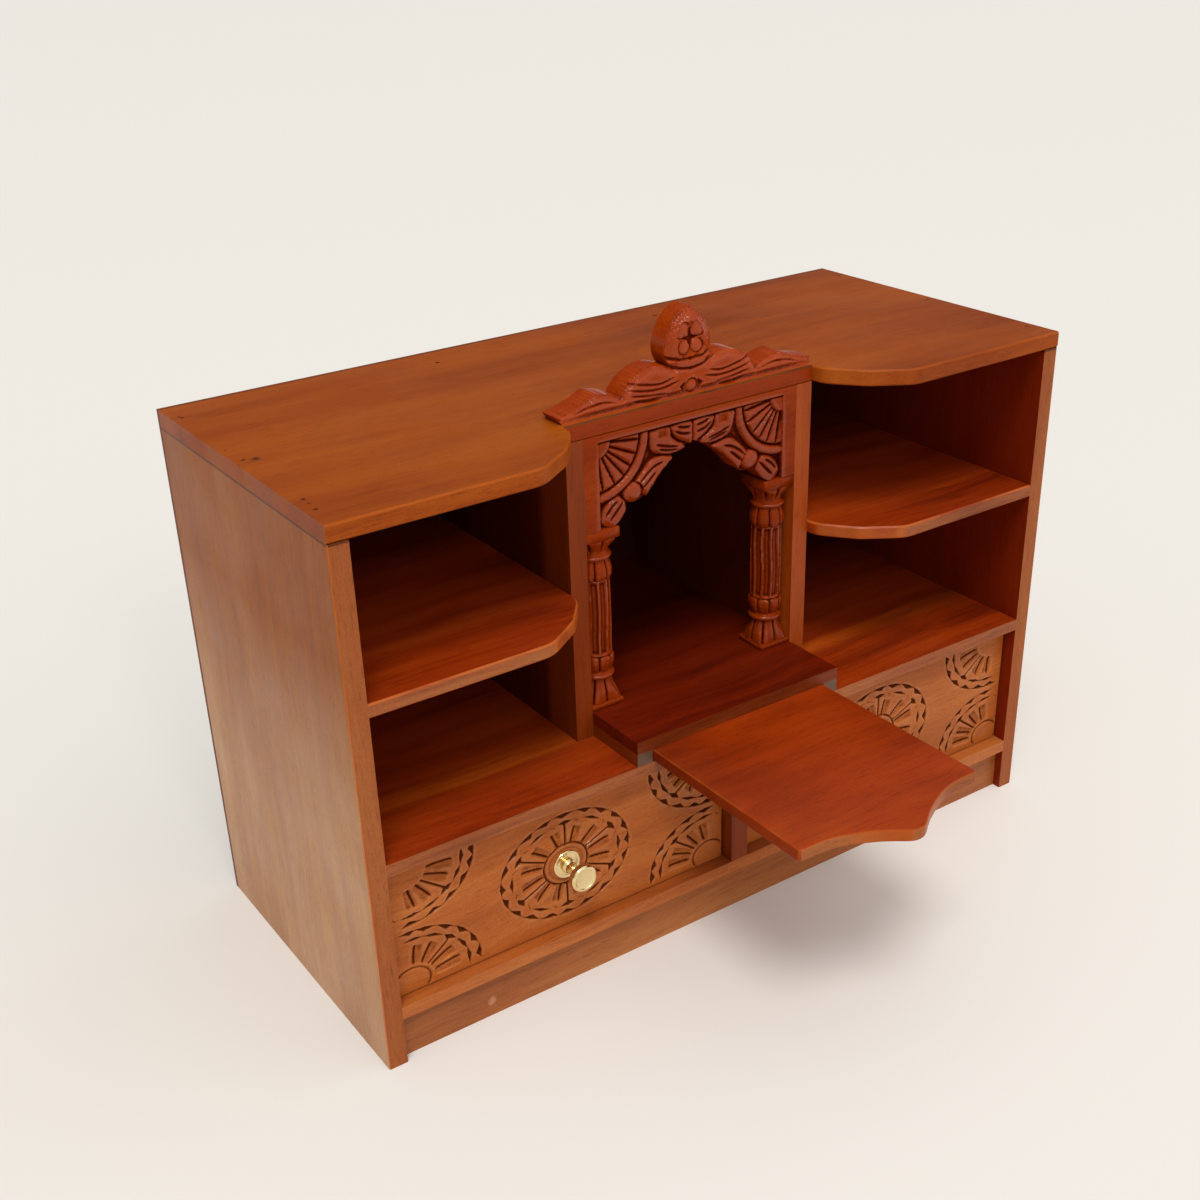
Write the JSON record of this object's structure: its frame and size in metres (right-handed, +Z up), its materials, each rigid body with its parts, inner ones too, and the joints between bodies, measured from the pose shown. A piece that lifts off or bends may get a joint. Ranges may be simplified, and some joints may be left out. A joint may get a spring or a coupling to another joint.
{
  "type": "home shrine",
  "caption": "Tabletop home shrine: a cabinet with a carved arched niche between columns, open shelf bays, drawers with carved fronts, a carved crest and a slide-out tray.",
  "frame": {"origin": "on the floor, in the middle of the cabinet's width, at the outer face of the back panel", "axes": "+Z up; the front with the niche and drawers looks along -Y; +X to the viewer's right"},
  "size_m": [0.608, 0.4478, 0.46],
  "materials": {
    "lacquered_wood": "satin lacquer",
    "carved_wood": "gloss lacquer",
    "plain_wood": "thin matt stain",
    "brass": "polished",
    "steel": "dull"
  },
  "bodies": {
    "cabinet": {"arch_panel": "carved_wood", "back_nails": "steel", "back_panel": "plain_wood", "base_board": "lacquered_wood", "crest": "carved_wood", "deck": "lacquered_wood", "drawer_divider": "lacquered_wood", "left_column": "carved_wood", "left_partition": "lacquered_wood", "left_shelf": "lacquered_wood", "left_side_panel": "lacquered_wood", "left_tray_rail": "lacquered_wood", "niche_floor": "lacquered_wood", "right_column": "carved_wood", "right_partition": "lacquered_wood", "right_shelf": "lacquered_wood", "right_side_panel": "lacquered_wood", "right_tray_rail": "lacquered_wood", "toe_board": "lacquered_wood", "top_board": "lacquered_wood", "top_nails": "steel"},
    "tray": {"pull_out_tray": "lacquered_wood"},
    "left_drawer": {"left_drawer_back": "plain_wood", "left_drawer_bottom": "plain_wood", "left_drawer_front": "carved_wood", "left_drawer_inner_side": "plain_wood", "left_drawer_knob": "brass", "left_drawer_knob_plate": "brass", "left_drawer_knob_screw": "steel", "left_drawer_outer_side": "plain_wood"},
    "right_drawer": {"right_drawer_back": "plain_wood", "right_drawer_bottom": "plain_wood", "right_drawer_front": "carved_wood", "right_drawer_inner_side": "plain_wood", "right_drawer_knob": "brass", "right_drawer_knob_plate": "brass", "right_drawer_knob_screw": "steel", "right_drawer_outer_side": "plain_wood"}
  },
  "joints": [
    {"name": "tray_slide", "type": "slide", "parent": "cabinet", "child": "tray", "axis": [0, -1, 0], "range_m": [-0.155, 0]},
    {"name": "left_drawer_slide", "type": "slide", "parent": "cabinet", "child": "left_drawer", "axis": [0, -1, 0], "range_m": [0, 0.19]},
    {"name": "right_drawer_slide", "type": "slide", "parent": "cabinet", "child": "right_drawer", "axis": [0, -1, 0], "range_m": [0, 0.19]}
  ]
}
